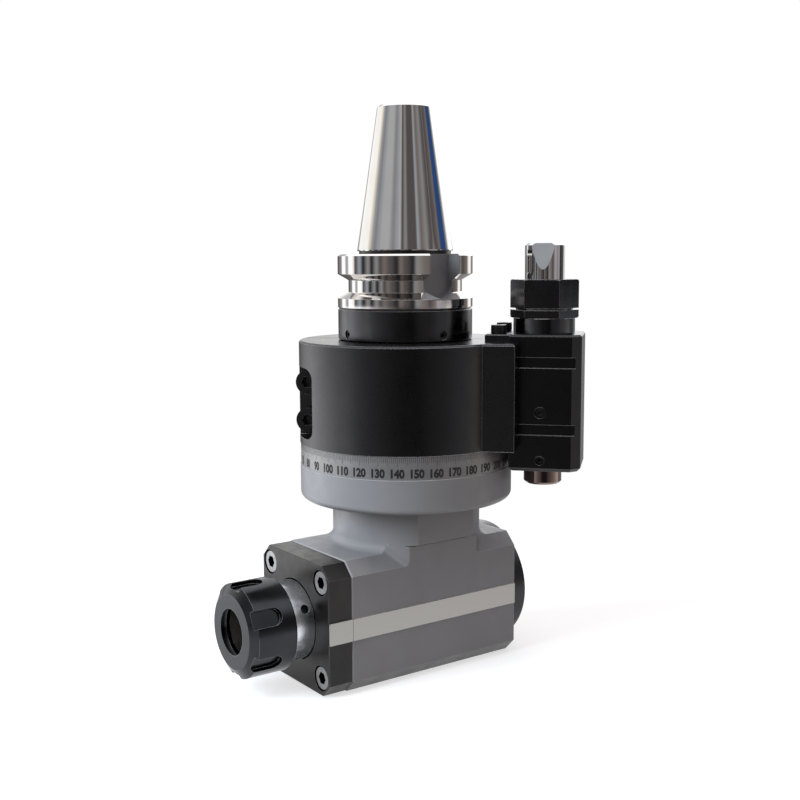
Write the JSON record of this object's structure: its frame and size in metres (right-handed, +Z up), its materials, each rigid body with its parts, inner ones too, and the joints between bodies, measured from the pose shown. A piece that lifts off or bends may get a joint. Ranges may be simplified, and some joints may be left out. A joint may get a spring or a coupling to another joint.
{
  "type": "angle head",
  "caption": "Right-angle milling head: a steep-taper arbor turns a collet spindle through bevel gears, with a graduated swivel, split clamp ring and sprung locating pin.",
  "frame": {"origin": "on the arbor's axis at the gauge plane of its taper, where the taper is 44.45 mm across", "axes": "+Z up along the taper to its small end; the output spindle points along -Y; the long sides of the gear housing face +X and -X"},
  "size_m": [0.1204, 0.1598, 0.2605],
  "materials": {
    "housing_paint": "smooth silver-grey paint",
    "cover_paint": "smooth dark grey",
    "black_oxide": "black oxide, satin",
    "taper_steel": "hardened and ground",
    "ground_steel": "ground",
    "dial_steel": "matt chromed, graduated",
    "turned_steel": "turned",
    "bearing_steel": "polished",
    "gear_steel": "case hardened, ground flanks",
    "nut_oxide": "dark oxide, satin",
    "screw_steel": "black oxide",
    "spring_steel": "drawn wire",
    "seal_rubber": "nitrile rubber"
  },
  "bodies": {
    "gear_head": {"gear_housing": "housing_paint", "dial_ring": "dial_steel", "bearing_retainer": "turned_steel", "arbor_seal": "seal_rubber", "outer_spacer": "turned_steel", "upper_bearing_outer": "bearing_steel", "upper_bearing_balls": "bearing_steel", "lower_bearing_outer": "bearing_steel", "lower_bearing_balls": "bearing_steel", "front_bearing_outers": "bearing_steel", "front_bearing_balls": "bearing_steel", "rear_bearing_outer": "bearing_steel", "rear_bearing_balls": "bearing_steel", "front_cover": "cover_paint", "cover_screws": "screw_steel", "rear_cap": "black_oxide"},
    "input_arbor": {"taper_arbor": "taper_steel", "orientation_collar": "black_oxide", "collar_set_screws": "screw_steel", "upper_bearing_inner": "bearing_steel", "lower_bearing_inner": "bearing_steel", "inner_spacer": "turned_steel", "arbor_gear": "gear_steel", "arbor_gear_key": "turned_steel", "arbor_gear_screw": "screw_steel"},
    "output_spindle": {"output_spindle": "ground_steel", "front_bearing_inners": "bearing_steel", "rear_bearing_inner": "bearing_steel", "spindle_locknut": "turned_steel", "rear_locknut": "turned_steel", "spindle_gear": "gear_steel", "spindle_gear_key": "turned_steel"},
    "nut_ring": {"extractor_ring": "bearing_steel"},
    "collet_nut": {"collet_nut": "nut_oxide"},
    "clamp_body": {"clamp_body": "black_oxide", "clamp_screws": "screw_steel", "pin_block": "black_oxide", "block_screws": "screw_steel", "guide_sleeve": "black_oxide", "key_screw": "screw_steel", "tail_screw": "screw_steel", "key_plate": "black_oxide", "plate_screws": "screw_steel", "pin_spring": "spring_steel"},
    "locating_pin": {"locating_pin": "ground_steel"}
  },
  "joints": [
    {"name": "input_spin", "type": "hinge", "parent": "gear_head", "child": "input_arbor", "pos_m": [0, 0, 0], "axis": [0, 0, 1], "continuous": true},
    {"name": "output_spin", "type": "hinge", "parent": "gear_head", "child": "output_spindle", "pos_m": [0, 0, -0.1653], "axis": [0, -1, 0], "continuous": true},
    {"name": "nut_travel", "type": "slide", "parent": "output_spindle", "child": "nut_ring", "axis": [0, -1, 0], "range_m": [0, 0.00901]},
    {"name": "nut_turn", "type": "hinge", "parent": "nut_ring", "child": "collet_nut", "pos_m": [0, -0.0885, -0.1653], "axis": [0, -1, 0], "range_deg": [0, 2160]},
    {"name": "swivel", "type": "hinge", "parent": "gear_head", "child": "clamp_body", "pos_m": [0, 0, -0.0894], "axis": [0, 0, 1], "continuous": true},
    {"name": "pin_slide", "type": "slide", "parent": "clamp_body", "child": "locating_pin", "axis": [0, 0, -1], "range_m": [0, 0.005], "stiffness_N_per_m": 3000, "springref_m": -0.004, "deforming": ["pin_spring"]}
  ],
  "couplings": [
    {"joint": "output_spin", "follows": "input_spin", "ratio": 1},
    {"joint": "nut_travel", "follows": "nut_turn", "m_per_rad": 0.00023873}
  ]
}
